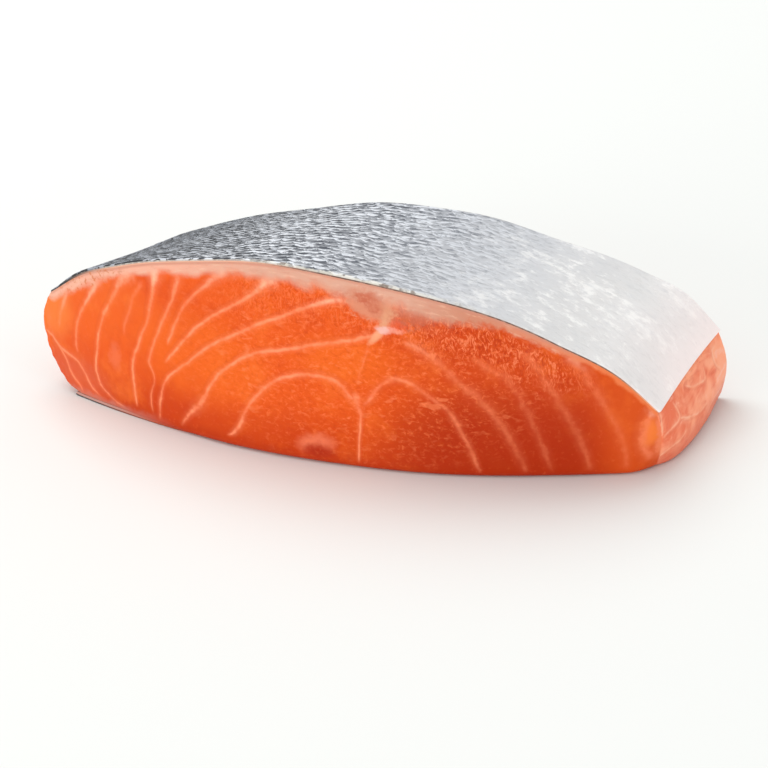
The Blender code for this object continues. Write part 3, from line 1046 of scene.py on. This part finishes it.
def make_skin():
    """The scaly skin over the whole top."""
    bm = cube_of_squares(*SKIN_SQUARES)
    split_edges(bm, lambda p, q: min(p.y, q.y) > 1 - TINY)
    cube = np.array([vertex.co for vertex in bm.verts])
    a, layer, t = cube.T

    def top(a, t):
        return mould(a, np.ones_like(a), t)

    stations = np.linspace(0, 1, SKIN_STATIONS)
    middle = top(stations, np.full_like(stations, 0.5)) / MM
    u = np.interp(a, stations, lengths_along(middle[:, (0, 2)]))
    v = top(a, t)[:, 1] / MM
    back = scales(u, v)[3]
    risen = [smooth(np.minimum(way, 1 - way), 0.0, start) for way, start in zip((a, t), SCALES_START)]
    lift = SCALE_LIFT * MM * (0.5 - back / SCALE_REACH) * risen[0] * risen[1] * faded_scales(u)
    thickness = SKIN_GAP + SKIN_THICKNESS - SKIN_SEAT - SCALE_LIFT * MM
    thickness = thickness * (SKIN_TIP_SHARE + (1 - SKIN_TIP_SHARE) * smooth(a, 0.0, SKIN_TIP_REACH))
    rounding = SKIN_RIM_DROP * (on_side(cube, 2, 0) | on_side(cube, 2, 1))
    outward = SKIN_SEAT + (thickness + lift - rounding) * layer
    take_shape(bm, over(top, a, t, outward))
    near, far = (top(a, np.full_like(a, end))[:, 1] / MM for end in (0.0, 1.0))
    fields = {
        "skin_place": np.column_stack([u, v, layer]),
        "to_cuts": np.column_stack([v - near, far - v, layer]),
    }
    make_piece("silver_skin", bm, skin_finish(), fields, "skin")


def faded_scales(u):
    """How clearly the scales show: less towards the belly."""
    return 1.0 - 0.94 * smooth(u, 58.0, 114.0)


def with_cream_rim(look, u, v, skin):
    """Adds a cream colour in places along both cuts, and dark marks."""
    to_near, to_far, _ = look.attribute("to_cuts").parts()
    cream_breakup = look.noise(look.point(u * 0.4, v), 1.1, 3.0, 0.7)
    marks = look.noise(look.point(u * 0.6, v * 0.8, 5.0), 1.2, 2.0, 0.6)
    along_cut = smooth(to_near.math("MINIMUM", to_far) + cream_breakup * 2.6, 1.85, 1.25)
    along_cut = along_cut * smooth(u, 50.0, 66.0) * smooth(u, 114.0, 84.0)
    return look.painted(
        skin,
        (along_cut * 0.7, paint(228, 223, 210)),
        (along_cut * smooth(marks, 0.54, 0.62) * 0.8, paint(104, 84, 74)),
    )


def with_cut_edge(look, u, v, layer, skin):
    """Adds pale flecks on the skin's cut edge, partly painted highlight where the edge catches light, and a
    brown line next to the flesh from the middle on.
    """
    flecks = smooth(look.noise(look.point(u * 0.5, v, layer), 0.6, 3.0, 0.7), 0.46, 0.60)
    pale_rim = look.painted(
        skin,
        (smooth(u, 10.0, 24.0) * smooth(u, 75.0, 50.0) * 0.7, paint(184, 172, 164)),
        # Pale flecks, partly painted highlight where the edge catches light.
        (flecks * smooth(u, 110.0, 70.0) * 0.8, paint(208, 202, 188)),
    )
    inner = look.painted(
        paint(226, 168, 142),
        (smooth(u, 52.0, 72.0), look.mix(flecks * 0.6, paint(112, 86, 74), paint(176, 148, 132))),
        (smooth(u, 130.0, 146.0), paint(236, 170, 132)),
    )
    rim = look.painted(
        pale_rim,
        (smooth(layer, 0.58, 0.40), inner),
        (smooth(u, 22.0, 4.0), paint(62, 60, 60)),
    )
    return look.mix(smooth(layer, 1.0, 0.92), skin, rim)


def skin_finish():
    """Wet scaly skin, dark at the back, silver in the middle and white at the belly."""
    look = Look("salmon_skin")
    here = look.position()
    u, v, layer = look.attribute("skin_place").parts()
    column, row, below, back = scales(u, v)
    clear = faded_scales(u)
    cell = look.point((column + below * 0.5) * 7.31, (row - below) * 3.17)
    shade = look.node("ShaderNodeTexWhiteNoise", {"noise_dimensions": "3D"}, {"Vector": cell}, "Value")
    streak = look.noise(here.stretched((1.0, 2.4, 1.0)), 0.0013, 3.0, 0.65) - 0.5
    cloudy = look.noise(here, 0.012, 3.0) - 0.5
    mottle = look.noise(here.stretched((1.0, 1.6, 1.0)), 0.0040, 3.0, 0.6) - 0.5

    tone = look.ramp(
        (u + cloudy * 22.0) / 160.0,
        (
            (0.00, paint(30, 32, 37)),
            (0.12, paint(32, 34, 39)),
            (0.28, paint(76, 79, 86)),
            (0.46, paint(152, 155, 161)),
            (0.60, paint(190, 192, 196)),
            (0.76, paint(215, 214, 213)),
            (0.88, paint(229, 226, 225)),
            (1.00, paint(250, 236, 234)),
        ),
    )
    # The pale dashes by the scales' free edges are painted glints; the dark dashes at their roots are
    # partly pigment and partly painted shade under the overlapping scale's edge.
    glint_colour = look.mix(smooth(u, 10.0, 60.0), paint(160, 165, 175), paint(234, 238, 244))
    dark_colour = look.mix(smooth(u, 32.0, 98.0), paint(18, 20, 25), paint(84, 90, 100))
    wavy = look.noise(look.point(u * 0.38 + mottle * 2.0, v), 1.35, 2.5, 0.6, 0.9) - 0.5
    even = smooth(u, 75.0, 35.0)
    dash = wavy * (1.0 - even * 0.1) + (0.5 - back) * (0.10 + shade * 0.26 + even * 0.10) + streak * 0.25
    dash = dash - smooth(u, 48.0, 16.0) * 0.035
    crack = abs(look.noise(look.point(u * 0.34 + mottle * 3.0, v), 1.5, 2.0, 0.55, 0.6) - 0.5)
    cracked = smooth(crack, 0.035, 0.005) * smooth(shade + streak, 0.2, 0.5)
    pale_end = smooth(u, 80.0, 112.0)
    flakes = smooth(look.noise(look.point(u * 0.6, v * 0.8), 2.0, 4.0, 0.7) + cloudy * 0.6, 0.50, 0.70)
    pink = smooth(u, 126.0, 152.0) * (smooth(v, -18.0, 8.0) * 0.45 + 0.15)
    skin = look.painted(
        tone,
        (smooth(mottle, 0.0, -0.3) * clear * 0.3, dark_colour),
        # Painted glints by the free edges, then the dark roots, partly pigment and partly painted shade.
        (smooth(dash, -0.02, 0.10) * clear * 0.85, glint_colour),
        (smooth(dash, -0.10, -0.17) * clear * 0.9, dark_colour),
        (cracked * clear, dark_colour),
        (flakes * pale_end * 0.5, paint(252, 251, 248)),
        (smooth(mottle, -0.02, -0.25) * pale_end * 0.3, paint(200, 202, 206)),
        (pink, paint(255, 234, 230)),
    )
    skin = with_cut_edge(look, u, v, layer, with_cream_rim(look, u, v, skin))

    look.set(
        Base_Color=skin,
        Roughness=0.38 + shade * 0.16 + streak * 0.25,
        Normal=look.bump((dash + 0.5) * (clear + 0.08), 0.00012, 0.6),
        Subsurface_Weight=0.05,
        Subsurface_Radius=(1.0, 0.8, 0.7),
        Subsurface_Scale=0.001,
        Specular_IOR_Level=0.14,
    )
    return look.material


def make_strip():
    """The strip of dark skin that wraps from the back edge to the underside."""

    def path(s, t):
        climb = STRIP_CLIMB * np.clip(1 - s / STRIP_TURN, 0, 1)
        run = np.clip((s - STRIP_TURN) / (1 - STRIP_TURN), 0, 1)
        width = between(TOE_X, t) - between(HEEL_X, t)
        return mould(run * (STRIP_REACH - 2 * SKIN_GAP) / width, climb, t)

    bm = cube_of_squares(*STRIP_SQUARES)
    cube = np.array([vertex.co for vertex in bm.verts])
    s, layer, t = cube.T
    thickness = np.minimum(SKIN_GAP + SKIN_THICKNESS, path(s, t)[:, 2])
    outward = -SKIN_SEAT - (thickness - SKIN_SEAT) * layer
    take_shape(bm, over(path, s, t, outward))
    fields = {"strip_place": cube}
    make_piece("dark_skin_strip", bm, strip_finish(), fields, "skin_strip")


def strip_finish():
    """Wet dark skin with a pale layer next to the flesh."""
    look = Look("dark_salmon_skin")
    here = look.position()
    run, layer, _ = look.attribute("strip_place").parts()
    mottled = look.noise(here, 0.0022, 3.0, 0.6)
    skin = look.painted(
        paint(46, 44, 46),
        (smooth(mottled, 0.35, 0.65), paint(96, 90, 88)),
        # Towards its end the strip is painted the orange-brown of flesh in shade by the table, so that it
        # merges with the flesh.
        (smooth(run + mottled * 0.3, 0.5, 0.85), paint(132, 62, 40)),
        (
            smooth(layer + mottled * 0.2, 0.80, 0.65),
            look.mix(smooth(run, 0.5, 0.9), paint(198, 146, 134), paint(200, 80, 40)),
        ),
    )
    look.set(
        Base_Color=skin,
        Roughness=0.3 + mottled * 0.2,
        Normal=look.bump(mottled, 0.0001, 0.5),
        Coat_Weight=0.2,
        Coat_Roughness=0.2,
    )
    return look.material


def make_floor():
    """The plain white surface that the portion lies on."""
    look = Look("white_floor")
    look.set(Base_Color=FLOOR_COLOUR, Roughness=0.8, Specular_IOR_Level=0.1)
    bm = bmesh.new()
    bmesh.ops.create_grid(bm, x_segments=1, y_segments=1, size=FLOOR_SIDE / 2)
    mesh = bpy.data.meshes.new("floor")
    bm.to_mesh(mesh)
    bm.free()
    mesh.materials.append(look.material)
    floor = bpy.data.objects.new("floor", mesh)
    bpy.context.scene.collection.objects.link(floor)


def aim_at(thing, place, target):
    """Puts a light or the camera at a place, looking at the target."""
    thing.location = place
    thing.rotation_euler = (Vector(target) - Vector(place)).to_track_quat("-Z", "Y").to_euler()


def add_softbox(name, place, side, watts):
    """A square light that faces the portion."""
    lamp = bpy.data.lights.new(name, "AREA")
    lamp.size = side
    lamp.energy = watts
    light = bpy.data.objects.new(name, lamp)
    bpy.context.scene.collection.objects.link(light)
    aim_at(light, place, LIGHT_AIM)


def make_studio():
    """White surroundings, three soft lights and the camera."""
    scene = bpy.context.scene
    scene.view_settings.view_transform = "Standard"
    world = bpy.data.worlds.new("white_studio")
    world.use_nodes = True
    background = world.node_tree.nodes["Background"]
    background.inputs["Color"].default_value = (1.0, 1.0, 1.0, 1.0)
    background.inputs["Strength"].default_value = WORLD_STRENGTH
    scene.world = world
    for softbox in SOFTBOXES:
        add_softbox(*softbox)

    lens = bpy.data.cameras.new("camera")
    lens.sensor_width = SENSOR_WIDTH
    lens.lens = SENSOR_WIDTH * PIXELS_PER_RADIAN / PICTURE_SIDE
    camera = bpy.data.objects.new("camera", lens)
    scene.collection.objects.link(camera)
    azimuth, elevation = math.radians(CAMERA_AZIMUTH), math.radians(CAMERA_ELEVATION)
    back = Vector(
        (
            math.sin(azimuth) * math.cos(elevation),
            -math.cos(azimuth) * math.cos(elevation),
            math.sin(elevation),
        )
    )
    aim_at(camera, CAMERA_AIM + CAMERA_DISTANCE * back, CAMERA_AIM)
    scene.camera = camera


make_studio()
make_floor()
make_flesh()
make_skin()
make_strip()
